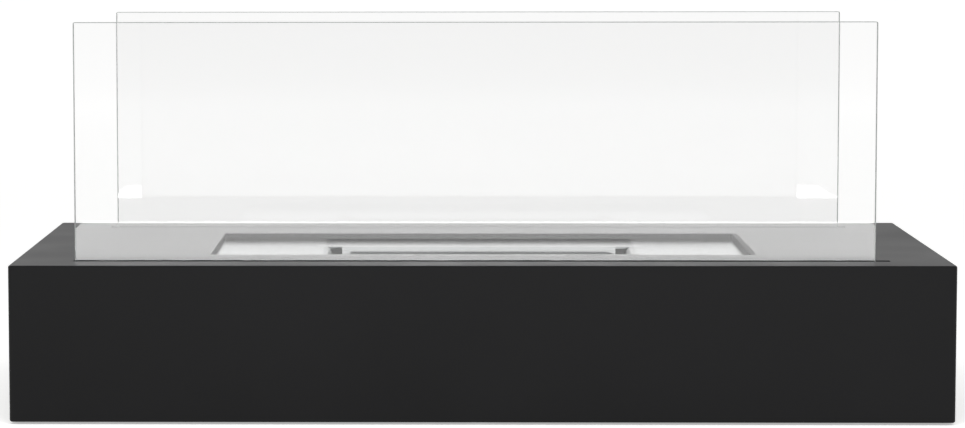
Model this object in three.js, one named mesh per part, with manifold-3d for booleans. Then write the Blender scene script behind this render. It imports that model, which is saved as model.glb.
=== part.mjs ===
// Table-top bioethanol fireplace: a folded black steel casing with a drop-in stainless burner
// between two loose panes of clear glass. Millimetres, +Z up, front towards -Y, origin on the
// floor under the middle of the casing.

import * as THREE from 'three';
import { mergeVertices } from 'three/addons/utils/BufferGeometryUtils.js';
import Module from 'manifold-3d';

const wasm = await Module();
wasm.setup();

// ---------------------------------------------------------------- driving dimensions

// Casing: one folded sheet with welded and ground corners.
const casingWidth = 600;
const casingDepth = 300;
const casingHeight = 100;
const casingSheet = 1.5;
const casingEdge = 1.2;
const casingInsideBend = 0.5;
const cornerRadius = 2.5;
const floorGap = 1.5;
const hemHeight = 6.5;
const shelfWidth = 14;

// Opening for the burner, which lies a little nearer the front pane.
const openingWidth = 353;
const openingDepth = 144.5;
const openingCorner = 1.5;
const openingEdge = 0.8;
const openingShiftY = -5.5;
const recessDepth = 4.2;
const ledgeWidth = 7;
const ledgeSheet = 1.5;

// Glass panes, their slots and the channels under them.
const paneWidth = 512.5;
const paneThickness = 5;
const paneAboveTop = 153;
const paneBelowTop = 17;
const paneArris = 0.5;
const paneInset = 31;
const frontPaneShiftX = -4.2;
const slotLength = 523;
const slotWidth = 7;
const channelSheet = 1.2;
const channelFlange = 6;
const channelOverrun = 2;
const linerFloor = 2;
const linerGap = 0.25;

// Burner: polished plate with a folded mouth, over a welded tank.
const burnerSheet = 1;
const burnerClearance = 0.75;
const burnerCorner = 1;
const mouthWidth = 206;
const mouthDepth = 48.5;
const lipRun = 186;
const lipDepth = 7;
const lipBend = 3;
const endLipRun = 41;
const endLipLength = 7;
const endLipAngle = THREE.MathUtils.degToRad(50);
const tankSheet = 1;
const tankDepth = 45;
const tankCorner = 6;
const tankClearance = 1;

// Fuel bed in the tank.
const fibreThickness = 26;
const fibreClearance = 2;
const meshSheet = 0.8;
const meshClearance = 1.5;
const meshLevel = 16.2;
const meshHole = 9;
const meshPitch = 14;
const meshColumns = 14;
const meshRows = 4;
const supportLeg = 9;
const supportSheet = 1;
const supportLength = 110;

// Regulator slide under the mouth and its two rails.
const slideSheet = 1.2;
const slideEndOverlap = 3.5;
const slideSideOverlap = 4.25;
const slideStopGap = 0.75;
const slideTabInset = 6.9;
const slideTabWidth = 24;
const slideTabHeight = 5;
const slideTabHole = 1.6;
const slideClearance = 0.5;
const railSheet = 1;
const railSeat = 6.5;
const railFlange = 7.5;

// Base plate, rubber feet and fasteners.
const baseSheet = 1.5;
const baseClearance = 0.75;
const footRadius = 10;
const footStemRadius = 4;
const footCapRadius = 6;
const footCapHeight = 2.5;
const footInsetX = 38;
const footInsetY = 38;
const screwRadius = 1.8;
const screwHeadRadius = 4;
const screwHeadHeight = 2.4;
const screwReach = 0.5;
const screwEndInset = 60;
const nutSide = 7;
const nutHeight = 3.2;

// Clearances: between pieces that touch, and round a fastener in its hole.
const fitGap = 0.3;
const holeGap = 0.5;

// ---------------------------------------------------------------- levels and shared sizes

const topLevel = floorGap + casingHeight;
const topUnderside = topLevel - casingSheet;
const shelfUnderside = floorGap + hemHeight;
const shelfTop = shelfUnderside + casingSheet;
const hemThickness = 2 * casingSheet;

const plateWidth = openingWidth - 2 * burnerClearance;
const plateDepth = openingDepth - 2 * burnerClearance;
const plateLevel = topLevel - recessDepth;
const ledgeTop = plateLevel - burnerSheet - fitGap;
const ledgeHoleWidth = openingWidth - 2 * ledgeWidth;
const ledgeHoleDepth = openingDepth - 2 * ledgeWidth;
const ledgeHoleCorner = tankCorner + tankClearance;
const tankWidth = ledgeHoleWidth - 2 * tankClearance;
const tankLength = ledgeHoleDepth - 2 * tankClearance;
const tankInsideWidth = tankWidth - 2 * tankSheet;
const tankInsideLength = tankLength - 2 * tankSheet;

const slideLength = mouthWidth + 2 * slideEndOverlap;
const slideDepth = mouthDepth - 2 * lipBend + 2 * slideSideOverlap;
const slideTravel = (tankInsideLength - slideDepth) / 2 - slideStopGap;
const slideTop = -lipDepth - slideClearance;
const slideRest = [0, -slideTravel, slideTop - slideSheet];
const railWebX = slideLength / 2 + slideClearance + railSheet / 2;
const railSeatTop = slideTop - slideSheet - fitGap;

const paneHeight = paneAboveTop + paneBelowTop;
const paneY = casingDepth / 2 - paneInset;
const linerWall = (slotWidth - paneThickness) / 2 - 2 * linerGap;
const linerBottom = topLevel - paneBelowTop - fitGap - linerFloor;
const channelFloor = linerBottom - fitGap;
const basePlateTop = shelfUnderside - fitGap;
const basePlateBottom = basePlateTop - baseSheet;
const fastenerInset = hemThickness + shelfWidth / 2;
const fastenerX = casingWidth / 2 - screwEndInset;
const fastenerY = casingDepth / 2 - fastenerInset;
const footX = casingWidth / 2 - footInsetX;
const footY = casingDepth / 2 - footInsetY;

// How finely arcs are drawn, and the least radius of a corner.
const bendSteps = 5;
const cornerSteps = 4;
const roundSides = 20;
const sharpestCorner = 0.05;

// ---------------------------------------------------------------- materials

function powderCoatedSteel() {
  return new THREE.MeshStandardMaterial({ color: 0x26262a, roughness: 0.45, metalness: 0 });
}

function zincPlatedSteel() {
  return new THREE.MeshStandardMaterial({ color: 0xa9adb0, roughness: 0.4, metalness: 1 });
}

function polishedStainless() {
  return new THREE.MeshStandardMaterial({ color: 0xc9cbcb, roughness: 0.12, metalness: 1 });
}

function millStainless() {
  return new THREE.MeshStandardMaterial({ color: 0xb4b7b8, roughness: 0.4, metalness: 1 });
}

function clearGlass() {
  return new THREE.MeshStandardMaterial({
    color: 0xf3f8f6,
    roughness: 0.02,
    metalness: 0,
    transparent: true,
    opacity: 0.25,
  });
}

function siliconeRubber() {
  return new THREE.MeshStandardMaterial({ color: 0x2b2b2b, roughness: 0.6, metalness: 0 });
}

function ceramicFibre() {
  return new THREE.MeshStandardMaterial({ color: 0xeeece4, roughness: 0.95, metalness: 0 });
}

function blackRubber() {
  return new THREE.MeshStandardMaterial({ color: 0x1c1c1c, roughness: 0.8, metalness: 0 });
}

// ---------------------------------------------------------------- making solids

// A three.js geometry as a solid for cutting and joining.
function solidOf(geometry) {
  const bare = geometry.clone();
  bare.deleteAttribute('normal');
  bare.deleteAttribute('uv');
  const merged = mergeVertices(bare);
  return new wasm.Manifold(new wasm.Mesh({
    numProp: 3,
    vertProperties: new Float32Array(merged.attributes.position.array),
    triVerts: new Uint32Array(merged.index.array),
  }));
}

function geometryOf(solid) {
  const mesh = solid.getMesh();
  const indexed = new THREE.BufferGeometry();
  indexed.setAttribute('position', new THREE.BufferAttribute(mesh.vertProperties, 3));
  indexed.setIndex(new THREE.BufferAttribute(mesh.triVerts, 1));
  const geometry = indexed.toNonIndexed();
  geometry.computeVertexNormals();
  return geometry;
}

function piece(name, solid, material, position = [0, 0, 0]) {
  const mesh = new THREE.Mesh(geometryOf(solid), material);
  mesh.name = name;
  mesh.position.set(...position);
  return mesh;
}

// A box with its middle at x, y and its underside at z.
function block(width, depth, height, x = 0, y = 0, z = 0) {
  const geometry = new THREE.BoxGeometry(width, depth, height);
  geometry.translate(x, y, z + height / 2);
  return solidOf(geometry);
}

// Points round a rectangle with round corners, anticlockwise, seen from above.
function roundedOutline(width, depth, radius) {
  const points = [];
  const r = Math.max(radius, sharpestCorner);
  const corners = [[1, 1, 0], [-1, 1, 1], [-1, -1, 2], [1, -1, 3]];
  for (const [sideX, sideY, quarter] of corners) {
    for (let step = 0; step <= cornerSteps; step += 1) {
      const angle = (quarter + step / cornerSteps) * Math.PI / 2;
      const x = sideX * (width / 2 - r) + r * Math.cos(angle);
      const y = sideY * (depth / 2 - r) + r * Math.sin(angle);
      points.push([x, y]);
    }
  }
  return points;
}

// A solid skinned over rounded rectangles stacked from low to high. Each level says how far its
// outline lies inside the full width and depth; a negative inset lies outside.
function stack(width, depth, radius, levels) {
  const rings = levels.map(({ inset, z }) => {
    const outline = roundedOutline(width - 2 * inset, depth - 2 * inset, radius - inset);
    return outline.map(([x, y]) => [x, y, z]);
  });
  const count = rings[0].length;
  const positions = rings.flat(2);
  const index = [];
  for (let level = 0; level < rings.length - 1; level += 1) {
    for (let i = 0; i < count; i += 1) {
      const low = level * count + i;
      const lowNext = level * count + (i + 1) % count;
      index.push(low, lowNext, lowNext + count, low, lowNext + count, low + count);
    }
  }
  const bottomMiddle = rings.length * count;
  const topMiddle = bottomMiddle + 1;
  positions.push(0, 0, levels[0].z, 0, 0, levels[levels.length - 1].z);
  const lastRing = (rings.length - 1) * count;
  for (let i = 0; i < count; i += 1) {
    const next = (i + 1) % count;
    index.push(bottomMiddle, next, i);
    index.push(topMiddle, lastRing + i, lastRing + next);
  }
  const geometry = new THREE.BufferGeometry();
  geometry.setAttribute('position', new THREE.Float32BufferAttribute(positions, 3));
  geometry.setIndex(index);
  return solidOf(geometry);
}

// Levels of a quarter-round edge: from one inset and height to another, bulging outwards.
// turn is the start angle in quarters: 0 for a top edge, 3 for a bottom edge.
function edgeLevels(radius, insetMiddle, zMiddle, turn, outwards = 1) {
  const levels = [];
  for (let step = 0; step <= bendSteps; step += 1) {
    const angle = (turn + step / bendSteps) * Math.PI / 2;
    levels.push({
      inset: insetMiddle - outwards * radius * Math.cos(angle),
      z: zMiddle + radius * Math.sin(angle),
    });
  }
  return levels;
}

// Outline of a sheet folded along a path: the middle line turns on an arc at each corner, and
// the outline runs half a sheet to either side of it.
function foldedSheet(path, sheet, insideRadius) {
  const corners = path.map(([u, v]) => new THREE.Vector2(u, v));
  const bend = insideRadius + sheet / 2;
  const middle = [];
  const last = corners.length - 1;
  corners.forEach((corner, i) => {
    const into = corner.clone().sub(corners[Math.max(i - 1, 0)]).normalize();
    const out = corners[Math.min(i + 1, last)].clone().sub(corner).normalize();
    if (i === 0 || i === last) {
      middle.push({ point: corner, along: i === 0 ? out : into });
      return;
    }
    const turn = Math.atan2(into.cross(out), into.dot(out));
    const reach = bend * Math.tan(Math.abs(turn) / 2);
    const start = corner.clone().addScaledVector(into, -reach);
    const side = new THREE.Vector2(-into.y, into.x).multiplyScalar(Math.sign(turn));
    const centre = start.clone().addScaledVector(side, bend);
    for (let step = 0; step <= bendSteps; step += 1) {
      const angle = turn * step / bendSteps;
      const point = start.clone().rotateAround(centre, angle);
      middle.push({ point, along: into.clone().rotateAround(new THREE.Vector2(), angle) });
    }
  });
  const shifted = (distance) => middle.map(({ point, along }) => (
    new THREE.Vector2(point.x - along.y * distance, point.y + along.x * distance)
  ));
  return [...shifted(-sheet / 2), ...shifted(sheet / 2).reverse()];
}

// An outline of y, z points carried along X, centred on x = 0.
function carriedAlongX(outline, length) {
  const geometry = new THREE.ExtrudeGeometry(new THREE.Shape(outline), {
    depth: length,
    bevelEnabled: false,
  });
  geometry.translate(0, 0, -length / 2);
  const toRow = new THREE.Matrix4().makeBasis(
    new THREE.Vector3(0, 1, 0),
    new THREE.Vector3(0, 0, 1),
    new THREE.Vector3(1, 0, 0),
  );
  geometry.applyMatrix4(toRow);
  return solidOf(geometry);
}

// An outline of x, z points carried along Y, centred on y = 0.
function carriedAlongY(outline, length) {
  const geometry = new THREE.ExtrudeGeometry(new THREE.Shape(outline), {
    depth: length,
    bevelEnabled: false,
  });
  geometry.translate(0, 0, -length / 2);
  geometry.rotateX(Math.PI / 2);
  return solidOf(geometry);
}

// A solid turned round the Z axis from a profile of radius, height pairs that starts and ends
// on the axis.
function turned(profile, sides = roundSides) {
  const points = profile.map(([radius, z]) => new THREE.Vector2(radius, z));
  const geometry = new THREE.LatheGeometry(points, sides);
  geometry.rotateX(Math.PI / 2);
  return solidOf(geometry);
}

// A round plug for a hole through a sheet that lies between two heights.
function drill(radius, bottom, top, x = 0, y = 0) {
  const overrun = 1;
  const depth = top - bottom + 2 * overrun;
  const geometry = new THREE.CylinderGeometry(radius, radius, depth, roundSides);
  geometry.rotateX(Math.PI / 2);
  geometry.translate(x, y, bottom - overrun + depth / 2);
  return solidOf(geometry);
}

function mirroredX(solid) {
  return solid.mirror([1, 0, 0]);
}

function mirroredY(solid) {
  return solid.mirror([0, 1, 0]);
}

// ---------------------------------------------------------------- casing

// Middles of the fasteners that hold the base plate, on the front and rear shelves.
function fastenerPlaces() {
  const places = [];
  for (const side of [-1, 1]) {
    for (const column of [-1, 0, 1]) {
      places.push([column * fastenerX, side * fastenerY]);
    }
  }
  return places;
}

function footPlaces() {
  return [[-footX, -footY], [footX, -footY], [-footX, footY], [footX, footY]];
}

// Top and walls are one bent sheet. The walls end in a closed hem, which turns in to a shelf.
function casingSolid() {
  const outside = stack(casingWidth, casingDepth, cornerRadius, [
    ...edgeLevels(casingSheet, casingSheet, floorGap + casingSheet, 3),
    ...edgeLevels(casingEdge, casingEdge, topLevel - casingEdge, 0),
  ]);
  const insideMiddle = casingSheet + casingInsideBend;
  const below = 2;
  const cavity = stack(casingWidth, casingDepth, cornerRadius, [
    { inset: casingSheet, z: floorGap - below },
    ...edgeLevels(casingSheet, casingSheet, floorGap + casingSheet, 3, -1),
    { inset: hemThickness, z: shelfUnderside },
    { inset: hemThickness + shelfWidth, z: shelfUnderside },
    { inset: hemThickness + shelfWidth, z: shelfTop },
    { inset: casingSheet, z: shelfTop },
    ...edgeLevels(casingInsideBend, insideMiddle, topLevel - insideMiddle, 0),
  ]);
  const slots = [-1, 1].map((side) => (
    block(slotLength, slotWidth, 3 * casingSheet, 0, side * paneY, topLevel - 2 * casingSheet)
  ));
  const fastenerHoles = fastenerPlaces().map(([x, y]) => (
    drill(screwRadius + holeGap, shelfUnderside, shelfTop, x, y)
  ));
  let shell = outside.subtract(cavity).add(openingCollar()).subtract(openingCut());
  for (const cutter of [...slots, ...fastenerHoles]) {
    shell = shell.subtract(cutter);
  }
  return shell;
}

// The opening's collar stands under its edge as far as the ledge that carries the burner.
function openingCollar() {
  const collar = stack(openingWidth, openingDepth, openingCorner, [
    { inset: -casingSheet, z: ledgeTop + fitGap },
    { inset: -casingSheet, z: topUnderside + casingSheet / 2 },
  ]);
  return collar.translate([0, openingShiftY, 0]);
}

// The hole through the top and the collar, its upper edge rounded by grinding.
function openingCut() {
  const above = 1;
  const edge = edgeLevels(openingEdge, -openingEdge, topLevel - openingEdge, 0, -1);
  const cut = stack(openingWidth, openingDepth, openingCorner, [
    { inset: 0, z: ledgeTop - above },
    ...edge,
    { inset: -openingEdge, z: topLevel + above },
  ]);
  return cut.translate([0, openingShiftY, 0]);
}

// An angle frame welded under the opening: its inner leg is the ledge, its outer leg reaches
// up to the underside of the top.
function ledgeFrameSolid() {
  const legGap = -(casingSheet + fitGap);
  const legOutside = legGap - ledgeSheet;
  const outside = stack(openingWidth, openingDepth, openingCorner, [
    { inset: legOutside, z: ledgeTop - ledgeSheet },
    { inset: legOutside, z: topUnderside - fitGap },
  ]);
  const hollow = stack(openingWidth, openingDepth, openingCorner, [
    { inset: legGap, z: ledgeTop },
    { inset: legGap, z: topLevel },
  ]);
  const hole = stack(ledgeHoleWidth, ledgeHoleDepth, ledgeHoleCorner, [
    { inset: 0, z: ledgeTop - 2 * ledgeSheet },
    { inset: 0, z: ledgeTop + ledgeSheet },
  ]);
  return outside.subtract(hollow).subtract(hole);
}

function basePlateSolid() {
  const edge = hemThickness + baseClearance;
  let plate = stack(casingWidth, casingDepth, cornerRadius, [
    { inset: edge, z: basePlateBottom },
    { inset: edge, z: basePlateTop },
  ]);
  for (const [x, y] of fastenerPlaces()) {
    plate = plate.subtract(drill(screwRadius + holeGap, basePlateBottom, basePlateTop, x, y));
  }
  for (const [x, y] of footPlaces()) {
    plate = plate.subtract(drill(footStemRadius + fitGap, basePlateBottom, basePlateTop, x, y));
  }
  return plate;
}

// A cross-recessed pan-head screw, head down. z = 0 is the seat of its head.
function screwSolid() {
  const shankTop = baseSheet + 2 * fitGap + casingSheet + fitGap + nutHeight + screwReach;
  const crown = 0.6;
  const shank = turned([
    [0, -screwHeadHeight],
    [screwHeadRadius - crown, -screwHeadHeight],
    [screwHeadRadius, -screwHeadHeight + crown],
    [screwHeadRadius, 0],
    [screwRadius, 0],
    [screwRadius, shankTop - crown],
    [screwRadius - crown, shankTop],
    [0, shankTop],
  ]);
  const crossLength = 4.4;
  const crossWidth = 0.9;
  const crossDepth = 1.4;
  const bottom = -screwHeadHeight - 1;
  const arm = block(crossLength, crossWidth, crossDepth + 1, 0, 0, bottom);
  const otherArm = block(crossWidth, crossLength, crossDepth + 1, 0, 0, bottom);
  return shank.subtract(arm).subtract(otherArm);
}

// A square weld nut with a plain bore.
function weldNutSolid() {
  const nut = block(nutSide, nutSide, nutHeight);
  return nut.subtract(drill(screwRadius + fitGap, 0, nutHeight));
}

// A push-in rubber foot: pad, stem through the base plate, and a cap above it.
function footSolid() {
  const shoulder = basePlateBottom - fitGap;
  const capBottom = basePlateTop + fitGap;
  const capTop = capBottom + footCapHeight;
  const arris = 0.8;
  return turned([
    [0, 0],
    [footRadius - arris, 0],
    [footRadius, arris],
    [footRadius, shoulder],
    [footStemRadius, shoulder],
    [footStemRadius, capBottom],
    [footCapRadius, capBottom],
    [footStemRadius, capTop],
    [0, capTop],
  ]);
}

// ---------------------------------------------------------------- glass and its channels

// z = 0 is the underside of the pane.
function paneSolid() {
  const face = new THREE.Shape([
    new THREE.Vector2(-paneWidth / 2 + paneArris, paneArris),
    new THREE.Vector2(paneWidth / 2 - paneArris, paneArris),
    new THREE.Vector2(paneWidth / 2 - paneArris, paneHeight - paneArris),
    new THREE.Vector2(-paneWidth / 2 + paneArris, paneHeight - paneArris),
  ]);
  const depth = paneThickness - 2 * paneArris;
  const geometry = new THREE.ExtrudeGeometry(face, {
    depth,
    bevelSize: paneArris,
    bevelThickness: paneArris,
    bevelSegments: 1,
  });
  geometry.translate(0, 0, -depth / 2);
  geometry.rotateX(Math.PI / 2);
  return solidOf(geometry);
}

// A top-hat channel: it hangs on its two flanges under the slot.
function channelSolid() {
  const webY = (slotWidth + channelSheet) / 2;
  const flangeY = webY + channelSheet / 2 + channelFlange;
  const flangeZ = topUnderside - fitGap - channelSheet / 2;
  const floorZ = channelFloor - channelSheet / 2;
  const insideRadius = 0.4;
  const outline = foldedSheet([
    [-flangeY, flangeZ],
    [-webY, flangeZ],
    [-webY, floorZ],
    [webY, floorZ],
    [webY, flangeZ],
    [flangeY, flangeZ],
  ], channelSheet, insideRadius);
  return carriedAlongX(outline, slotLength + 2 * channelOverrun);
}

// A U-shaped silicone strip round the foot of the pane, up to the underside of the top.
function linerSolid() {
  const outsideY = paneThickness / 2 + linerGap + linerWall;
  const insideY = paneThickness / 2 + linerGap;
  const bottom = linerBottom;
  const floor = linerBottom + linerFloor;
  const top = topUnderside - fitGap;
  const outline = [
    [-outsideY, bottom],
    [outsideY, bottom],
    [outsideY, top],
    [insideY, top],
    [insideY, floor],
    [-insideY, floor],
    [-insideY, top],
    [-outsideY, top],
  ].map(([y, z]) => new THREE.Vector2(y, z));
  return carriedAlongX(outline, slotLength);
}

// ---------------------------------------------------------------- burner, z = 0 at its plate

// The plate is cut out for the mouth. The long edges fold straight down, the ends fold down at
// an angle, and each corner keeps an open relief between them.
function burnerPlateSolid() {
  const plate = stack(plateWidth, plateDepth, burnerCorner, [
    { inset: 0, z: -burnerSheet },
    { inset: 0, z: 0 },
  ]);
  const cut = block(mouthWidth, mouthDepth, 3 * burnerSheet, 0, 0, -2 * burnerSheet);
  const middle = -burnerSheet / 2;
  const overlap = 0.5;
  const insideRadius = lipBend - burnerSheet;
  const faceY = mouthDepth / 2 - lipBend + burnerSheet / 2;
  const longLip = carriedAlongX(foldedSheet([
    [mouthDepth / 2 + overlap, middle],
    [faceY, middle],
    [faceY, -lipDepth],
  ], burnerSheet, insideRadius), lipRun);
  const endLip = carriedAlongY(foldedSheet([
    [mouthWidth / 2 + overlap, middle],
    [mouthWidth / 2 - insideRadius / 2, middle],
    [
      mouthWidth / 2 - insideRadius / 2 - endLipLength * Math.cos(endLipAngle),
      middle - endLipLength * Math.sin(endLipAngle),
    ],
  ], burnerSheet, insideRadius / 2), endLipRun);
  return plate
    .subtract(cut)
    .add(longLip)
    .add(mirroredY(longLip))
    .add(endLip)
    .add(mirroredX(endLip));
}

function tankSolid() {
  const top = -burnerSheet - fitGap;
  const bottom = -burnerSheet - tankDepth;
  const bend = 2;
  const outside = stack(tankWidth, tankLength, tankCorner, [
    ...edgeLevels(bend, bend, bottom + bend, 3),
    { inset: 0, z: top },
  ]);
  const inside = stack(tankWidth, tankLength, tankCorner, [
    ...edgeLevels(bend - tankSheet, bend, bottom + bend, 3),
    { inset: tankSheet, z: top + 1 },
  ]);
  return outside.subtract(inside);
}

function fibreSolid() {
  const corner = tankCorner - tankSheet;
  const bottom = -burnerSheet - tankDepth + tankSheet + fitGap;
  const arris = 1.2;
  return stack(tankInsideWidth, tankInsideLength, corner, [
    { inset: fibreClearance, z: bottom },
    { inset: fibreClearance, z: bottom + fibreThickness - arris },
    { inset: fibreClearance + arris, z: bottom + fibreThickness },
  ]);
}

// A flat sheet over the fibre, pierced with square holes under the mouth.
function meshSolid() {
  let sheet = stack(tankInsideWidth, tankInsideLength, tankCorner - tankSheet, [
    { inset: meshClearance, z: -meshLevel - meshSheet },
    { inset: meshClearance, z: -meshLevel },
  ]);
  for (let column = 0; column < meshColumns; column += 1) {
    for (let row = 0; row < meshRows; row += 1) {
      const x = (column - (meshColumns - 1) / 2) * meshPitch;
      const y = (row - (meshRows - 1) / 2) * meshPitch;
      const hole = block(meshHole, meshHole, 3 * meshSheet, x, y, -meshLevel - 2 * meshSheet);
      sheet = sheet.subtract(hole);
    }
  }
  return sheet;
}

// The right-hand angle that carries the end of the mesh, welded to the tank's end wall.
function meshSupportSolid() {
  const wallX = tankInsideWidth / 2 - fitGap - supportSheet / 2;
  const seatZ = -meshLevel - meshSheet - fitGap - supportSheet / 2;
  const outline = foldedSheet([
    [wallX - supportLeg, seatZ],
    [wallX, seatZ],
    [wallX, seatZ - supportLeg],
  ], supportSheet, supportSheet / 2);
  return carriedAlongY(outline, supportLength);
}

// The right-hand rail: a Z-section welded under the plate, whose lower flange carries the slide.
function railSolid() {
  const topZ = -burnerSheet - fitGap - railSheet / 2;
  const seatZ = railSeatTop - railSheet / 2;
  const outline = foldedSheet([
    [railWebX + railFlange, topZ],
    [railWebX, topZ],
    [railWebX, seatZ],
    [railWebX - railSeat, seatZ],
  ], railSheet, railSheet / 2);
  return carriedAlongY(outline, tankInsideLength - 2 * fitGap);
}

// The slide that closes the mouth from below, with a tab for the hook. Its own z = 0 is its
// underside and y = 0 its middle.
function slideSolid() {
  const corner = 2;
  const sheet = stack(slideLength, slideDepth, corner, [
    { inset: 0, z: 0 },
    { inset: 0, z: slideSheet },
  ]);
  const tabY = slideDepth / 2 - slideTabInset;
  const tab = block(slideTabWidth, slideSheet, slideTabHeight + slideSheet / 2, 0, tabY, slideSheet / 2);
  const holeGeometry = new THREE.CylinderGeometry(slideTabHole, slideTabHole, 3 * slideSheet, roundSides);
  holeGeometry.translate(0, tabY, slideSheet + slideTabHeight / 2);
  return sheet.add(tab).subtract(solidOf(holeGeometry));
}

// ---------------------------------------------------------------- assembly

function casingGroup() {
  const group = new THREE.Group();
  group.add(piece('casing', casingSolid(), powderCoatedSteel()));
  group.add(piece('ledge_frame', ledgeFrameSolid(), powderCoatedSteel(), [0, openingShiftY, 0]));
  group.add(piece('base_plate', basePlateSolid(), powderCoatedSteel()));
  fastenerPlaces().forEach(([x, y], i) => {
    const seat = basePlateBottom - fitGap;
    group.add(piece(`base_screw_${i + 1}`, screwSolid(), zincPlatedSteel(), [x, y, seat]));
    group.add(piece(`weld_nut_${i + 1}`, weldNutSolid(), zincPlatedSteel(), [x, y, shelfTop + fitGap]));
  });
  footPlaces().forEach(([x, y], i) => {
    group.add(piece(`foot_${i + 1}`, footSolid(), blackRubber(), [x, y, 0]));
  });
  return group;
}

// One pane with its channel and liner, in the slot on the given side.
function paneGroup(place, side, shiftX) {
  const group = new THREE.Group();
  group.position.y = side * paneY;
  const footLevel = topLevel - paneBelowTop;
  group.add(piece(`${place}_glass`, paneSolid(), clearGlass(), [shiftX, 0, footLevel]));
  group.add(piece(`${place}_glass_channel`, channelSolid(), zincPlatedSteel()));
  group.add(piece(`${place}_glass_liner`, linerSolid(), siliconeRubber()));
  return group;
}

function burnerGroup() {
  const group = new THREE.Group();
  group.position.set(0, openingShiftY, plateLevel);
  group.add(piece('burner_plate', burnerPlateSolid(), polishedStainless()));
  group.add(piece('burner_tank', tankSolid(), millStainless()));
  group.add(piece('fibre_block', fibreSolid(), ceramicFibre()));
  group.add(piece('flame_mesh', meshSolid(), millStainless()));
  group.add(piece('mesh_support_right', meshSupportSolid(), millStainless()));
  group.add(piece('mesh_support_left', mirroredX(meshSupportSolid()), millStainless()));
  group.add(piece('slide_rail_right', railSolid(), millStainless()));
  group.add(piece('slide_rail_left', mirroredX(railSolid()), millStainless()));
  group.add(piece('regulator_slide', slideSolid(), millStainless(), slideRest));
  return group;
}

const fireplace = new THREE.Group();
fireplace.add(casingGroup());
fireplace.add(paneGroup('front', -1, frontPaneShiftX));
fireplace.add(paneGroup('rear', 1, 0));
fireplace.add(burnerGroup());

export default fireplace;
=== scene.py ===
"""Looks of a table-top bioethanol fireplace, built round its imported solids.

A black powder-coated steel casing holds a drop-in stainless burner between two clear panes.
Shapes are worked out here in millimetres, +Z up, front towards -Y, and go into meshes in metres.
"""

import math

import bmesh
import bpy
import numpy as np
from mathutils import Matrix, Vector
from mathutils.geometry import delaunay_2d_cdt


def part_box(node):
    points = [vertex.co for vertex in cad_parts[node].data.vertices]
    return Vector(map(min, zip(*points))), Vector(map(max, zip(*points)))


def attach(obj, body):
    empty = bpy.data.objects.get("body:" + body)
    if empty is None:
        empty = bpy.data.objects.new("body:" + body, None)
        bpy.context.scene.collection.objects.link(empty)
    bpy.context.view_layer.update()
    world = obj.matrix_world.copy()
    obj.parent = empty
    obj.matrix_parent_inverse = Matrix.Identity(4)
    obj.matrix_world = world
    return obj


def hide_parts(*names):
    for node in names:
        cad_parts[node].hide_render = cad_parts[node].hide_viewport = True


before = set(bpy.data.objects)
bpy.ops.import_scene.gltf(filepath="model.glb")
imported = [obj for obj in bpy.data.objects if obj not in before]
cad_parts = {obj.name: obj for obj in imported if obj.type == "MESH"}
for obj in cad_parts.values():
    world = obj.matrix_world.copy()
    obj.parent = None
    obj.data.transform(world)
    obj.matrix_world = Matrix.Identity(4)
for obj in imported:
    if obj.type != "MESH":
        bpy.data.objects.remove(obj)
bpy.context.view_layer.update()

# ------------------------------------------------------------------ sizes, in millimetres

METRES = 0.001
SHARPEST_CORNER = 0.05
WELD = 0.004

# Casing sheet
CASING_SHEET = 1.5
CASING_EDGE = 1.2
CASING_INSIDE_BEND = 0.5
CASING_CORNER = 2.5
HEM_HEIGHT = 6.5
SHELF_WIDTH = 14.0
SLOT_WIDTH = 7.0
SLOT_CORNER = 0.8
COAT_EDGE = 0.3
OPENING_CORNER = 1.5
OPENING_EDGE = 0.8
OPENING_CLEARANCE = 0.75
COLLAR_BOTTOM = 96.3
SHANK_HOLE = 2.3
SHANK_SIDES = 24
SCREWS = 6

# Glass panes
PANE_ARRIS = 0.5
PANE_CORNER = 1.2

# Burner plate
PLATE_SHEET = 1.0
PLATE_CORNER = 1.0
MOUTH_WIDTH = 206.0
MOUTH_DEPTH = 48.5
LIP_RUN = 186.0
LIP_BEND = 3.0
LIP_DEPTH = 7.0
END_LIP_RUN = 41.0
END_LIP_BEND = 2.0
END_LIP_LENGTH = 7.0
END_LIP_ANGLE = math.radians(50)
LIP_STEP = 6.0
DISH_DEPTH = 0.35
DISH_REACH = 15.0
DISH_START = 1.5
DISH_RINGS = 10
DISH_POINTS = 24
CUT_EDGE = 0.12

# Flame mesh: a perforated sheet
MESH_HOLE = 2.2
MESH_PITCH = 6.0
MESH_COLUMNS = 33
MESH_ROWS = 9
MESH_CORNER = 5.0
MESH_HOLE_SIDES = 10

# Feet
FEET = 4
FOOT_RADIUS = 10.0
FOOT_STEM = 4.0
FOOT_CAP = 6.0
FOOT_ARRIS = 0.8
FOOT_SHOULDER = 0.5
FOOT_RIM = 3.0
FOOT_GAP = 0.3
FOOT_SIDES = 64
ON_AXIS = 0.001


def extent(node):
    """Lowest and highest corner of a solid, in millimetres."""
    low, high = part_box(node)
    return np.array(low) / METRES, np.array(high) / METRES


def middle(node):
    low, high = extent(node)
    return (low + high) / 2


# ------------------------------------------------------------------ surfaces


def arc(radius, start, end, steps):
    """Points (radius cos a, radius sin a) for a from start to end degrees, in equal steps."""
    angle = np.radians(np.linspace(start, end, steps + 1))
    return np.stack([radius * np.cos(angle), radius * np.sin(angle)], 1)


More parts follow.
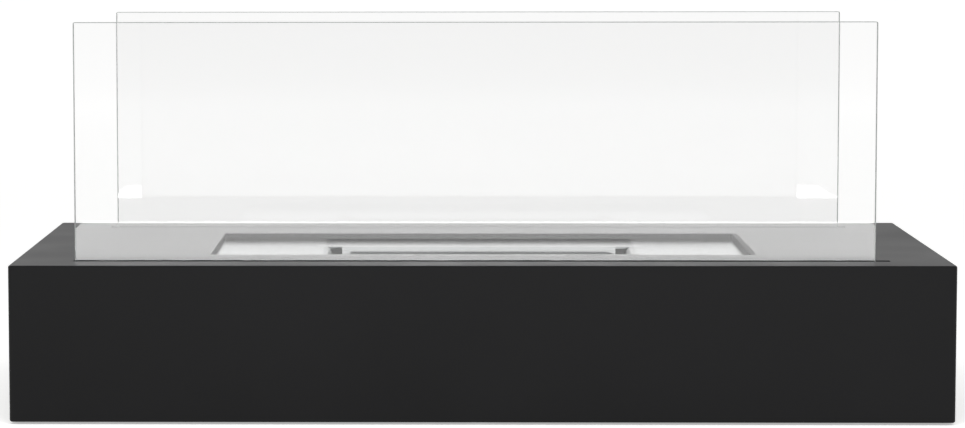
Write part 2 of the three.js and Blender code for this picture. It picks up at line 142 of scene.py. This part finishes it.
def rounded_ring(width, depth, radius, centre=(0, 0), steps=6):
    """Anticlockwise points round a rectangle with round corners.

    Each corner is a quarter circle about the point one radius in from both sides:
    corner + radius (cos a, sin a), with a growing by a quarter turn from corner to corner.
    """
    side = np.array([[1, 1], [-1, 1], [-1, -1], [1, -1]])[:, None, :]
    turn = np.linspace(0, math.pi / 2, steps + 1)[None, :]
    angle = np.arange(4)[:, None] * math.pi / 2 + turn
    bow = np.stack([np.cos(angle), np.sin(angle)], 2)
    inner = np.array([width / 2 - radius, depth / 2 - radius])
    return (side * inner + radius * bow).reshape(-1, 2) + np.array(centre)


def stacked_rings(width, depth, radius, profile, centre=(0, 0), steps=6):
    """Rounded rectangles stacked by a profile of (inset, height) rows.

    Every level is the ring of (width - 2 inset) by (depth - 2 inset), its corner radius less by
    the inset too, at its height. The result is a levels by points by 3 array.
    """
    levels = []
    for inset, height in profile:
        corner = max(radius - inset, SHARPEST_CORNER)
        ring = rounded_ring(width - 2 * inset, depth - 2 * inset, corner, centre, steps)
        levels.append(np.column_stack([ring, np.full(len(ring), height)]))
    return np.array(levels)


def turned_rings(profile, centre, sides):
    """A profile of (radius, height) rows turned round the vertical axis through centre."""
    angle = np.linspace(0, 2 * math.pi, sides, endpoint=False)
    circle = np.stack([np.cos(angle), np.sin(angle)], 1)
    profile = np.array(profile, float)
    flat = profile[:, None, :1] * circle[None] + np.array(centre)
    height = np.broadcast_to(profile[:, None, 1:], (len(profile), sides, 1))
    return np.concatenate([flat, height], 2)


class Shell:
    """Patches of one closed surface, gathered as points and faces and welded at the end."""

    def __init__(self):
        self.points, self.faces, self.finishes, self.count = [], [], [], 0

    def _take(self, points, faces, finish=0):
        self.points.append(points)
        self.faces += (faces + self.count).tolist()
        self.finishes += [finish] * len(faces)
        self.count += len(points)

    def band(self, grid, finish=0, closed=True):
        """Quads between neighbouring rows of a rows by columns by 3 grid of points.

        Where closed, the last column joins the first.
        """
        rows, columns = grid.shape[:2]
        number = np.arange(rows * columns).reshape(rows, columns)
        after = np.roll(number, -1, 1)
        if not closed:
            number, after = number[:, :-1], after[:, :-1]
        corners = [number[:-1], after[:-1], after[1:], number[1:]]
        self._take(grid.reshape(-1, 3), np.stack(corners, -1).reshape(-1, 4), finish)

    def flat(self, outline, holes=(), height=0.0, extra=(), swap=None):
        """A flat patch inside one outline and outside its holes, in triangles.

        The outlines are constraint edges of a Delaunay triangulation, and a triangle is kept
        where a ray from its middle crosses them an odd number of times. height is a number, or
        a function of x and y. extra holds inner points, and swap reorders x, y, z.
        """
        loops = [np.asarray(loop) for loop in (outline, *holes)]
        starts = np.cumsum([0] + [len(loop) for loop in loops])
        edges = np.concatenate([
            np.stack([np.arange(a, b), np.roll(np.arange(a, b), -1)], 1)
            for a, b in zip(starts[:-1], starts[1:])
        ])
        flat = np.concatenate(loops + ([np.asarray(extra)] if len(extra) else []))
        made = delaunay_2d_cdt([Vector(p) for p in flat], edges.tolist(), [], 0, 1e-6)
        points = np.array([tuple(p) for p in made[0]])
        triangles = np.array(made[2])
        heart = points[triangles].mean(1)
        begin, end = flat[edges[:, 0]], flat[edges[:, 1]]
        x, y = heart[:, :1], heart[:, 1:]
        spans = (begin[None, :, 1] > y) != (end[None, :, 1] > y)
        rise = np.where(end[:, 1] == begin[:, 1], 1.0, end[:, 1] - begin[:, 1])
        cross = begin[:, 0] + (y - begin[:, 1]) * (end[:, 0] - begin[:, 0]) / rise
        inside = (spans & (x < cross)).sum(1) % 2 == 1
        if callable(height):
            level = height(points[:, 0], points[:, 1])
        else:
            level = np.full(len(points), height)
        solid = np.column_stack([points, level])
        self._take(solid if swap is None else solid[:, swap], triangles[inside])

    def piece(self, name, body, materials, replaces=(), sharp=35):
        """Welds the patches, points the faces outwards and makes the piece, in metres."""
        mesh = bpy.data.meshes.new(name)
        mesh.from_pydata(np.concatenate(self.points).tolist(), [], self.faces)
        mesh.polygons.foreach_set("material_index", self.finishes)
        work = bmesh.new()
        work.from_mesh(mesh)
        bmesh.ops.remove_doubles(work, verts=work.verts, dist=WELD)
        bmesh.ops.dissolve_degenerate(work, edges=work.edges, dist=WELD / 4)
        bmesh.ops.delete(
            work, geom=[v for v in work.verts if not v.link_faces], context="VERTS"
        )
        bmesh.ops.recalc_face_normals(work, faces=work.faces)
        bmesh.ops.scale(work, vec=(METRES,) * 3, verts=work.verts)
        work.to_mesh(mesh)
        work.free()
        for material in materials:
            mesh.materials.append(material)
        mesh.shade_smooth()
        mesh.set_sharp_from_angle(angle=math.radians(sharp))
        made = bpy.data.objects.new(name, mesh)
        bpy.context.scene.collection.objects.link(made)
        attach(made, body)
        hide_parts(*replaces)
        return made


def steady_normals(made):
    """Large faces keep their own normal, so that a bend beside them doesn't shade them."""
    weighted = made.modifiers.new("steady normals", "WEIGHTED_NORMAL")
    weighted.mode = "FACE_AREA_WITH_ANGLE"
    weighted.keep_sharp = True
    return made


# ------------------------------------------------------------------ shader helpers


def linear(hex_colour):
    """A linear colour with alpha from an sRGB hex value such as "c0ffee"."""
    parts = [int(hex_colour[i:i + 2], 16) / 255 for i in (0, 2, 4)]
    return [p / 12.92 if p <= 0.04045 else ((p + 0.055) / 1.055) ** 2.4 for p in parts] + [1.0]


def add(tree, kind, sockets=None, **settings):
    """Adds a node: settings are its own properties, sockets its inputs by name or number."""
    node = tree.nodes.new(kind)
    for name, value in settings.items():
        setattr(node, name, value)
    for name, value in (sockets or {}).items():
        if isinstance(value, bpy.types.NodeSocket):
            tree.links.new(value, node.inputs[name])
        else:
            node.inputs[name].default_value = value
    return node


def new_material(name):
    """An empty node material with its output, and the Object coordinates of its piece."""
    material = bpy.data.materials.new(name)
    material.use_nodes = True
    tree = material.node_tree
    tree.nodes.clear()
    output = add(tree, "ShaderNodeOutputMaterial")
    place = add(tree, "ShaderNodeTexCoord").outputs["Object"]
    return material, tree, output, place


def grain(tree, place, size_mm, stretch=(1, 1, 1), detail=2.0, rough=0.5):
    """Noise whose blobs are about size_mm across, drawn out by stretch along X, Y and Z."""
    scale = [1 / s for s in stretch]
    mapped = add(tree, "ShaderNodeMapping", {"Vector": place, "Scale": scale}).outputs[0]
    return add(tree, "ShaderNodeTexNoise", {
        "Vector": mapped,
        "Scale": 1 / (size_mm * METRES),
        "Detail": detail,
        "Roughness": rough,
    }).outputs["Fac"]


def spread(tree, value, low, high, start=0.3, stop=0.7):
    """Maps a noise value between start and stop to between low and high."""
    return add(tree, "ShaderNodeMapRange", {
        "Value": value, "From Min": start, "From Max": stop, "To Min": low, "To Max": high,
    }).outputs["Result"]


def mottled(tree, noise, first, second):
    """A colour that wanders between two sRGB hex values with the noise."""
    mix = add(tree, "ShaderNodeMix", {
        0: spread(tree, noise, 0, 1), 6: linear(first), 7: linear(second),
    }, data_type="RGBA")
    return mix.outputs[2]


def bumped(tree, height, depth_mm):
    return add(tree, "ShaderNodeBump", {
        "Height": height, "Distance": depth_mm * METRES, "Strength": 1.0,
    }).outputs["Normal"]


# ------------------------------------------------------------------ materials


def black_powder_coat():
    """Polyester powder, sprayed and baked on steel: satin, with a faint orange peel."""
    material, tree, output, place = new_material("black_satin_powder_coat")
    peel = grain(tree, place, 1.6, detail=1.0)
    cloud = grain(tree, place, 90.0)
    surface = add(tree, "ShaderNodeBsdfPrincipled", {
        "Base Color": mottled(tree, cloud, "131314", "171718"),
        "Roughness": spread(tree, cloud, 0.44, 0.50),
        "Specular IOR Level": 0.15,
        "Normal": bumped(tree, peel, 0.02),
    })
    tree.links.new(surface.outputs[0], output.inputs["Surface"])
    return material


def polished_stainless():
    """Stainless sheet, rolled along X and buffed to a soft mirror with faint lines left in it."""
    material, tree, output, place = new_material("polished_stainless_sheet")
    lines = grain(tree, place, 0.4, stretch=(90, 1, 1), detail=3.0)
    smear = grain(tree, place, 45.0, stretch=(2.5, 1, 1))
    surface = add(tree, "ShaderNodeBsdfPrincipled", {
        "Base Color": mottled(tree, smear, "cbcdcd", "d3d5d5"),
        "Metallic": 1.0,
        "Roughness": spread(tree, lines, 0.18, 0.26),
        "Normal": bumped(tree, lines, 0.002),
    })
    tree.links.new(surface.outputs[0], output.inputs["Surface"])
    return material


def cold_rolled_stainless():
    """Stainless sheet as it leaves the mill: dull grey, with a fine even grain."""
    material, tree, output, place = new_material("cold_rolled_stainless_sheet")
    pickled = grain(tree, place, 0.5, detail=3.0)
    cloud = grain(tree, place, 30.0)
    surface = add(tree, "ShaderNodeBsdfPrincipled", {
        "Base Color": mottled(tree, cloud, "b5b8b9", "c2c5c5"),
        "Metallic": 1.0,
        "Roughness": spread(tree, pickled, 0.3, 0.42),
        "Normal": bumped(tree, pickled, 0.006),
    })
    tree.links.new(surface.outputs[0], output.inputs["Surface"])
    return material


def bright_zinc_plate():
    """Electroplated zinc on steel: bluish silver with a slightly cloudy sheen."""
    material, tree, output, place = new_material("bright_zinc_plate")
    cloud = grain(tree, place, 6.0)
    surface = add(tree, "ShaderNodeBsdfPrincipled", {
        "Base Color": mottled(tree, cloud, "b4b9bd", "c4c8ca"),
        "Metallic": 1.0,
        "Roughness": spread(tree, cloud, 0.24, 0.36),
    })
    tree.links.new(surface.outputs[0], output.inputs["Surface"])
    return material


def clear_float_glass():
    """Toughened float glass: clear, flat and very smooth."""
    material, tree, output, _ = new_material("clear_toughened_float_glass")
    surface = add(tree, "ShaderNodeBsdfPrincipled", {
        "Base Color": linear("f7f7f7"),
        "Transmission Weight": 1.0,
        "IOR": 1.52,
        "Roughness": 0.0,
    })
    tree.links.new(surface.outputs[0], output.inputs["Surface"])
    return material


def ground_glass_edge():
    """The pane's edges, ground with a fine belt: frosted and grey."""
    material, tree, output, place = new_material("ground_glass_edge")
    belt = grain(tree, place, 0.5)
    surface = add(tree, "ShaderNodeBsdfPrincipled", {
        "Base Color": mottled(tree, belt, "a4a9a7", "b6bab8"),
        "Transmission Weight": 0.5,
        "IOR": 1.52,
        "Roughness": spread(tree, belt, 0.35, 0.5),
    })
    tree.links.new(surface.outputs[0], output.inputs["Surface"])
    return material


def black_silicone():
    """Extruded silicone strip: matt black with a soft sheen along its edges."""
    material, tree, output, place = new_material("black_extruded_silicone")
    bloom = grain(tree, place, 8.0, stretch=(6, 1, 1))
    surface = add(tree, "ShaderNodeBsdfPrincipled", {
        "Base Color": mottled(tree, bloom, "191919", "242424"),
        "Roughness": spread(tree, bloom, 0.55, 0.7),
        "Specular IOR Level": 0.35,
    })
    tree.links.new(surface.outputs[0], output.inputs["Surface"])
    return material


def black_rubber():
    """Moulded rubber: matt, a little dusty, with a fine mould texture."""
    material, tree, output, place = new_material("black_moulded_rubber")
    texture = grain(tree, place, 0.7)
    dust = grain(tree, place, 5.0)
    surface = add(tree, "ShaderNodeBsdfPrincipled", {
        "Base Color": mottled(tree, dust, "161616", "262625"),
        "Roughness": spread(tree, dust, 0.7, 0.85),
        "Specular IOR Level": 0.3,
        "Normal": bumped(tree, texture, 0.03),
    })
    tree.links.new(surface.outputs[0], output.inputs["Surface"])
    return material


def ceramic_fibre_board():
    """Pressed ceramic fibre: white, matt, with matted fibres a millimetre or two long."""
    material, tree, output, place = new_material("pressed_ceramic_fibre")
    fibres = grain(tree, place, 1.2, stretch=(3, 1, 1), detail=5.0, rough=0.7)
    surface = add(tree, "ShaderNodeBsdfPrincipled", {
        "Base Color": mottled(tree, fibres, "dedad0", "f2f0ea"),
        "Roughness": 0.95,
        "Specular IOR Level": 0.2,
        "Normal": bumped(tree, fibres, 0.25),
    })
    tree.links.new(surface.outputs[0], output.inputs["Surface"])
    return material


powder_coat = black_powder_coat()
mirror_steel = polished_stainless()
mill_steel = cold_rolled_stainless()
zinc = bright_zinc_plate()
glass = clear_float_glass()
glass_edge = ground_glass_edge()
silicone = black_silicone()
rubber = black_rubber()
fibre = ceramic_fibre_board()

# ------------------------------------------------------------------ camera


def set_camera():
    """A long lens a little above the top, fitted to the corners in the photograph.

    The photograph is cropped off the lens's middle, which the shift stands for.
    """
    pitch, yaw, roll = 0.08874, 0.01855, -0.00149
    position = Vector((-24.1, -2215.4, 318.2)) * METRES
    data = bpy.data.cameras.new("camera")
    data.sensor_width = 36.0
    data.lens = 122.64
    data.shift_x = 0.1036
    data.clip_end = 100.0
    camera = bpy.data.objects.new("camera", data)
    bpy.context.scene.collection.objects.link(camera)
    turn = (
        Matrix.Rotation(yaw, 4, "Z")
        @ Matrix.Rotation(math.pi / 2 - pitch, 4, "X")
        @ Matrix.Rotation(roll, 4, "Z")
    )
    camera.matrix_world = Matrix.Translation(position) @ turn
    bpy.context.scene.camera = camera


set_camera()

# ------------------------------------------------------------------ casing


def build_casing():
    """The folded sheet: walls, hem and shelf, the top with its slots, and the opening's collar.

    The outer skin and the inner skin are stacks of rounded rectangles. The top's two faces are
    flat patches between the outer bend, the slots and the collar.
    """
    low, high = extent("casing")
    width, depth = high[0] - low[0], high[1] - low[1]
    top, bottom = high[2], low[2]
    under = top - CASING_SHEET
    hem = 2 * CASING_SHEET
    shelf_low = bottom + HEM_HEIGHT
    shelf_high = shelf_low + CASING_SHEET
    shell = Shell()

    over_edge, hem_bend = arc(CASING_EDGE, 90, 0, 8), arc(CASING_SHEET, 0, -180, 14)
    outer = [(CASING_EDGE - x, top - CASING_EDGE + z) for x, z in over_edge]
    outer += [(CASING_SHEET - x, bottom + CASING_SHEET + z) for x, z in hem_bend]
    outer += [(hem, shelf_low), (hem + SHELF_WIDTH, shelf_low), (hem + SHELF_WIDTH, shelf_high)]
    walls = stacked_rings(width, depth, CASING_CORNER, outer)
    shell.band(walls)

    inner_middle = CASING_SHEET + CASING_INSIDE_BEND
    inside_bend = arc(CASING_INSIDE_BEND, 0, 90, 5)
    inner = [(CASING_SHEET, shelf_high)]
    inner += [(inner_middle - x, top - inner_middle + z) for x, z in inside_bend]
    lining = stacked_rings(width, depth, CASING_CORNER, inner)
    shell.band(lining)

    holes = []
    for number in range(1, SCREWS + 1):
        x, y, _ = middle(f"base_screw_{number}")
        profile = [(SHANK_HOLE, shelf_low), (SHANK_HOLE, shelf_high)]
        hole = turned_rings(profile, (x, y), SHANK_SIDES)
        shell.band(hole)
        holes.append(hole[-1][:, :2])
    shell.flat(lining[0][:, :2], [walls[-1][:, :2]] + holes, shelf_high)

    slots = []
    for place in ("front", "rear"):
        run_low, run_high = extent(f"{place}_glass_liner")
        centre = (run_low[0] + run_high[0]) / 2, (run_low[1] + run_high[1]) / 2
        edge = [(x - COAT_EDGE, top - COAT_EDGE + z) for x, z in arc(COAT_EDGE, 90, 0, 4)]
        edge += [(0.0, under)]
        slot = stacked_rings(run_high[0] - run_low[0], SLOT_WIDTH, SLOT_CORNER, edge, centre, 3)
        shell.band(slot)
        slots.append(slot)

    plate_low, plate_high = extent("burner_plate")
    width, depth = (plate_high - plate_low)[:2] + 2 * OPENING_CLEARANCE
    edge = [(x - OPENING_EDGE, top - OPENING_EDGE + z) for x, z in arc(OPENING_EDGE, 90, 0, 6)]
    edge += [(0.0, COLLAR_BOTTOM), (-CASING_SHEET, COLLAR_BOTTOM), (-CASING_SHEET, under)]
    centre = ((plate_low + plate_high) / 2)[:2]
    collar = stacked_rings(width, depth, OPENING_CORNER, edge, centre)
    shell.band(collar)

    gaps = [*slots, collar]
    shell.flat(walls[0][:, :2], [gap[0][:, :2] for gap in gaps], top)
    shell.flat(lining[-1][:, :2], [gap[-1][:, :2] for gap in gaps], under)
    made = shell.piece("casing_shell", "casing", [powder_coat], ["casing"])
    return steady_normals(made)


# ------------------------------------------------------------------ glass


def build_pane(place):
    """A slab of glass standing on edge.

    Its outline is a rounded rectangle in X and Z. The edge is a band of four such outlines
    across the thickness, the outer two drawn in by the ground arris.
    """
    low, high = extent(f"{place}_glass")
    width, height, thickness = high[0] - low[0], high[2] - low[2], high[1] - low[1]
    centre = ((low[0] + high[0]) / 2, (low[2] + high[2]) / 2)
    y = (low[1] + high[1]) / 2
    half = thickness / 2
    flank = half - PANE_ARRIS
    profile = [(PANE_ARRIS, -half), (0, -flank), (0, flank), (PANE_ARRIS, half)]
    rim = stacked_rings(width, height, PANE_CORNER, profile, centre, 5)
    rim[:, :, 2] += y
    rim = rim[:, :, [0, 2, 1]]
    shell = Shell()
    shell.band(rim, finish=1)
    for face in (rim[0], rim[-1]):
        shell.flat(face[:, [0, 2]], height=face[0, 1], swap=[0, 2, 1])
    return shell.piece(
        f"{place}_glass_pane", f"{place}_pane", [glass, glass_edge],
        [f"{place}_glass"], sharp=20,
    )


# ------------------------------------------------------------------ burner


def build_burner_plate():
    """The polished plate with its folded mouth, drawn as one surface and given its thickness.

    The plate sinks towards the mouth by dish (1 - d/reach) squared, where d is the distance to
    the mouth's edge. Each long lip is a quarter circle and a drop, carried along X between the
    corner reliefs. Each end lip turns down by 50 degrees, carried along Y.
    """
    low, high = extent("burner_plate")
    width, depth, top = high[0] - low[0], high[1] - low[1], high[2]
    centre = ((low + high) / 2)[:2]
    half_width, half_depth = MOUTH_WIDTH / 2, MOUTH_DEPTH / 2

    def dish(x, y):
        over_x = np.maximum(np.abs(x - centre[0]) - half_width, 0)
        over_y = np.maximum(np.abs(y - centre[1]) - half_depth, 0)
        share = np.clip(1 - np.hypot(over_x, over_y) / DISH_REACH, 0, 1)
        return top - DISH_DEPTH * share ** 2

    def along(half, run, step):
        """Even steps over the run, and its corner reliefs beyond, as one side's places."""
        count = max(2, round(run / step))
        return np.concatenate([[-half], np.linspace(-run / 2, run / 2, count), [half]])

    xs, ys = along(half_width, LIP_RUN, LIP_STEP), along(half_depth, END_LIP_RUN, LIP_STEP)
    mouth = np.concatenate([
        np.column_stack([xs[:-1], np.full(len(xs) - 1, -half_depth)]),
        np.column_stack([np.full(len(ys) - 1, half_width), ys[:-1]]),
        np.column_stack([xs[:0:-1], np.full(len(xs) - 1, half_depth)]),
        np.column_stack([np.full(len(ys) - 1, -half_width), ys[:0:-1]]),
    ]) + centre
    shell = Shell()
    rings = [
        rounded_ring(MOUTH_WIDTH + 2 * d, MOUTH_DEPTH + 2 * d, d, centre, 8)
        for d in np.linspace(DISH_START, DISH_REACH, DISH_RINGS)
    ]
    shares = np.linspace(0, 1, DISH_POINTS)[:-1]
    dense = [
        ring + (np.roll(ring, -1, 0) - ring) * share
        for ring in rings for share in shares
    ]
    extra = np.unique(np.concatenate(dense).round(3), axis=0)
    outline = rounded_ring(width, depth, PLATE_CORNER, centre, 4)
    shell.flat(outline, [mouth], dish, extra=extra)

    root = top - DISH_DEPTH
    fold = arc(LIP_BEND, 90, 180, 8)
    drop = np.linspace(root - LIP_BEND, top - LIP_DEPTH, 3)[1:]
    face = half_depth + fold[:, 0]
    long_profile = np.column_stack([
        np.concatenate([face, np.full(2, half_depth - LIP_BEND)]),
        np.concatenate([root - LIP_BEND + fold[:, 1], drop]),
    ])
    bend = arc(END_LIP_BEND, 90, 90 + math.degrees(END_LIP_ANGLE), 5)
    slope = np.array([-math.cos(END_LIP_ANGLE), -math.sin(END_LIP_ANGLE)])
    end_profile = np.column_stack([half_width + bend[:, 0], root - END_LIP_BEND + bend[:, 1]])
    end_profile = np.concatenate([
        end_profile, end_profile[-1] + slope * (END_LIP_LENGTH - END_LIP_BEND / 2)
        * np.array([[0.5], [1.0]]),
    ])
    for side in (-1, 1):
        run = xs[1:-1]
        lip = np.zeros((len(long_profile), len(run), 3))
        lip[..., 0] = run[None] + centre[0]
        lip[..., 1] = side * long_profile[:, :1] + centre[1]
        lip[..., 2] = long_profile[:, 1:]
        shell.band(lip, closed=False)
        run = ys[1:-1]
        lip = np.zeros((len(end_profile), len(run), 3))
        lip[..., 0] = side * end_profile[:, :1] + centre[0]
        lip[..., 1] = run[None] + centre[1]
        lip[..., 2] = end_profile[:, 1:]
        shell.band(lip, closed=False)
    made = shell.piece(
        "burner_top_plate", "burner", [mirror_steel], ["burner_plate"],
        sharp=60,
    )
    wall = made.modifiers.new("sheet", "SOLIDIFY")
    wall.thickness = PLATE_SHEET * METRES
    wall.offset = -1.0
    wall.use_even_offset = True
    edge = made.modifiers.new("cut edge", "BEVEL")
    edge.width = CUT_EDGE * METRES
    edge.segments = 2
    edge.limit_method = "ANGLE"
    edge.angle_limit = math.radians(50)
    return steady_normals(made)


def build_flame_mesh():
    """The perforated sheet over the fibre: staggered rows of round holes under the mouth."""
    low, high = extent("flame_mesh")
    centre = ((low + high) / 2)[:2]
    width, depth = high[0] - low[0], high[1] - low[1]
    column = np.arange(MESH_COLUMNS) - (MESH_COLUMNS - 1) / 2
    row = np.arange(MESH_ROWS) - (MESH_ROWS - 1) / 2
    x, y = np.meshgrid(column * MESH_PITCH, row * MESH_PITCH * math.sqrt(0.75))
    x = x + (np.arange(MESH_ROWS)[:, None] % 2 - 0.5) * MESH_PITCH / 2
    shell = Shell()
    holes = []
    for place in np.column_stack([x.ravel(), y.ravel()]) + centre:
        hole = turned_rings([(MESH_HOLE, low[2]), (MESH_HOLE, high[2])], place, MESH_HOLE_SIDES)
        shell.band(hole)
        holes.append(hole[0][:, :2])
    rim = stacked_rings(width, depth, MESH_CORNER, [(0, low[2]), (0, high[2])], centre, 5)
    shell.band(rim)
    shell.flat(rim[0][:, :2], holes, low[2])
    shell.flat(rim[0][:, :2], holes, high[2])
    return shell.piece(
        "perforated_flame_mesh", "burner", [mill_steel], ["flame_mesh"]
    )


# ------------------------------------------------------------------ feet


def build_foot(number):
    """A rubber foot: its pad, stem and cap are one profile turned about its own axis."""
    node = f"foot_{number}"
    low, high = extent(node)
    x, y, _ = middle(node)
    plate_low, plate_high = extent("base_plate")
    shoulder, cap = plate_low[2] - FOOT_GAP, plate_high[2] + FOOT_GAP
    rounding = arc(FOOT_ARRIS, -90, 0, 5)
    pad = [(ON_AXIS, 0.0), (FOOT_RADIUS - FOOT_RIM, 0.0)]
    pad += [(FOOT_RADIUS - FOOT_ARRIS + r, FOOT_ARRIS + z) for r, z in rounding]
    profile = [(r, z + low[2]) for r, z in pad]
    profile += [(FOOT_RADIUS, shoulder - FOOT_SHOULDER), (FOOT_RADIUS - FOOT_SHOULDER, shoulder)]
    profile += [(FOOT_STEM, shoulder), (FOOT_STEM, cap), (FOOT_CAP, cap)]
    profile += [(FOOT_STEM, high[2]), (ON_AXIS, high[2])]
    shell = Shell()
    shell.band(turned_rings(profile, (x, y), FOOT_SIDES))
    return steady_normals(
        shell.piece(f"rubber_foot_{number}", "casing", [rubber], [node])
    )


# ------------------------------------------------------------------ put together

build_casing()
for place in ("front", "rear"):
    build_pane(place)
build_burner_plate()
build_flame_mesh()
for number in range(1, FEET + 1):
    build_foot(number)

CARRIED_OVER = {
    "ledge_frame": powder_coat,
    "base_plate": powder_coat,
    "front_glass_channel": zinc,
    "rear_glass_channel": zinc,
    "front_glass_liner": silicone,
    "rear_glass_liner": silicone,
    "burner_tank": mill_steel,
    "fibre_block": fibre,
    "mesh_support_right": mill_steel,
    "mesh_support_left": mill_steel,
    "slide_rail_right": mill_steel,
    "slide_rail_left": mill_steel,
    "regulator_slide": mill_steel,
    **{f"base_screw_{n}": zinc for n in range(1, SCREWS + 1)},
    **{f"weld_nut_{n}": zinc for n in range(1, SCREWS + 1)},
}
for node, material in CARRIED_OVER.items():
    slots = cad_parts[node].data.materials
    slots.clear()
    slots.append(material)

# ------------------------------------------------------------------ floor and light

# The world's strength, for rays that light things and for rays that see it
WORLD_LIGHT = 0.45
WORLD_SEEN = 1.0

# Floor: how much white is added where it is seen, at two distances from the middle in metres
FLOOR_HALF = 20.0
LIFT_NEAR, LIFT_FAR = 0.42, 0.64
LIFT_START, LIFT_END = 0.8, 3.5

# Key soft box: place and size in metres, power in watts
KEY_PLACE = (0.0, -2.0, 2.2)
KEY_SIZE = (3.0, 2.0)
KEY_POWER = 60.0

# Cards that lie in front, in millimetres: low x, high x, near y, far y, and radiance. The front
# pane mirrors each over the part of the top that it is named after.
CARD_HEIGHT = 6.0
CARDS = {
    "left": (-400, -243, -1040, -1445, 7.8),
    "right": (270, 420, -1040, -1445, 7.8),
    "near": (-243, 270, -1040, -1102, 7.8),
    "far": (-243, 270, -1316, -1445, 7.8),
    "recess": (-243, 270, -1260, -1316, 3.4),
    "steel_left": (-243, -138, -1102, -1260, 2.7),
    "steel_right": (159, 270, -1102, -1260, 2.7),
    "mouth": (-138, 159, -1102, -1260, 0.9),
}

# Strip light before the front pane, which the glass mirrors, and foot light on the pane's face,
# which the gloss of the casing before it mirrors: millimetres, degrees and radiance
STRIP_AHEAD, STRIP_RISE = 2.0, 1.55
STRIP_EXTRA, STRIP_TALL = 60, 2.1
STRIP_CONE, STRIP_RADIANCE = 56, 0.9
FOOT_LIGHT_AHEAD, FOOT_LIGHT_RISE = 0.2, 3.1
FOOT_LIGHT_TALL = 6.0
FOOT_LIGHT_CONE, FOOT_LIGHT_RADIANCE = 30, 0.095


def seen_rays(tree):
    """1 for rays from the camera, off gloss and through glass, and 0 for the others."""
    path = add(tree, "ShaderNodeLightPath").outputs
    share = path["Is Camera Ray"]
    for kind in ("Is Glossy Ray", "Is Transmission Ray"):
        either = add(tree, "ShaderNodeMath", {0: share, 1: path[kind]}, operation="MAXIMUM")
        share = either.outputs[0]
    return share


def set_world():
    """A white surround where it is seen, and a soft even light from it elsewhere."""
    world = bpy.data.worlds.new("white_surround")
    bpy.context.scene.world = world
    world.use_nodes = True
    tree = world.node_tree
    tree.nodes.clear()
    strength = spread(tree, seen_rays(tree), WORLD_LIGHT, WORLD_SEEN, 0, 1)
    back = add(tree, "ShaderNodeBackground", {"Color": (1, 1, 1, 1), "Strength": strength})
    out = add(tree, "ShaderNodeOutputWorld")
    tree.links.new(back.outputs[0], out.inputs["Surface"])


def set_floor():
    """A pale matt floor that looks white where it is seen lit, and keeps the shadow.

    Further off, where less light falls on it, the white is lifted a little more.
    """
    half = FLOOR_HALF
    mesh = bpy.data.meshes.new("floor")
    corners = [(-half, -half, 0), (half, -half, 0), (half, half, 0), (-half, half, 0)]
    mesh.from_pydata(corners, [], [(0, 1, 2, 3)])
    floor = bpy.data.objects.new("floor", mesh)
    bpy.context.scene.collection.objects.link(floor)
    material, tree, output, place = new_material("pale_matt_floor")
    matt = add(tree, "ShaderNodeBsdfDiffuse", {"Color": linear("ededec")})
    away = add(tree, "ShaderNodeVectorMath", {0: place}, operation="LENGTH").outputs["Value"]
    most = spread(tree, away, LIFT_NEAR, LIFT_FAR, LIFT_START, LIFT_END)
    white = add(tree, "ShaderNodeMath", {0: seen_rays(tree), 1: most}, operation="MULTIPLY")
    lift = add(tree, "ShaderNodeEmission", {"Strength": white.outputs[0]})
    both = add(tree, "ShaderNodeAddShader", {0: matt.outputs[0], 1: lift.outputs[0]})
    tree.links.new(both.outputs[0], output.inputs["Surface"])
    mesh.materials.append(material)


def soft_light(name, position, target, size, power):
    """A rectangular area light facing its target."""
    data = bpy.data.lights.new(name, "AREA")
    data.shape = "RECTANGLE"
    data.size, data.size_y = size
    data.energy = power
    lamp = bpy.data.objects.new(name, data)
    lamp.location = position
    aim = Vector(target) - Vector(position)
    lamp.rotation_euler = aim.to_track_quat("-Z", "Y").to_euler()
    bpy.context.scene.collection.objects.link(lamp)
    return lamp


def reflector(name, place, facing, size, radiance):
    """A bright card, out of the picture. Only gloss mirrors it, and it lights nothing matt."""
    place, size = Vector(place) * METRES, [side * METRES for side in size]
    power = radiance * math.pi * size[0] * size[1]
    card = soft_light(name, place, place + Vector(facing), size, power)
    card.visible_camera = False
    card.visible_diffuse = False
    card.visible_transmission = False
    return card


def set_cards():
    """The cards that the front pane mirrors over the top."""
    for name, (low_x, high_x, near_y, far_y, radiance) in CARDS.items():
        centre = (low_x + high_x) / 2, (near_y + far_y) / 2, CARD_HEIGHT
        size = high_x - low_x, near_y - far_y
        reflector(f"card_{name}", centre, (0, 0, 1), size, radiance)


def set_foot_lights():
    """Two thin lights at the front pane's foot.

    Their light leaves them within a narrow cone, so only a low view from the front meets it.
    """
    top = extent("casing")[1][2]
    low, high = extent("front_glass")
    length = high[0] - low[0]
    strip = reflector(
        "strip_light", (0, low[1] - STRIP_AHEAD, top + STRIP_RISE), (0, 1, 0),
        (length + STRIP_EXTRA, STRIP_TALL), STRIP_RADIANCE,
    )
    strip.data.spread = math.radians(STRIP_CONE)
    place = (low[0] + high[0]) / 2, low[1] - FOOT_LIGHT_AHEAD, top + FOOT_LIGHT_RISE
    foot = reflector(
        "foot_light", place, (0, -1, 0), (length, FOOT_LIGHT_TALL), FOOT_LIGHT_RADIANCE
    )
    foot.data.spread = math.radians(FOOT_LIGHT_CONE)


set_world()
set_floor()
key = soft_light("key_soft_box", KEY_PLACE, (0, 0, 0), KEY_SIZE, KEY_POWER)
key.visible_glossy = False
key.visible_transmission = False
set_cards()
set_foot_lights()

bpy.context.scene.view_settings.view_transform = "Standard"
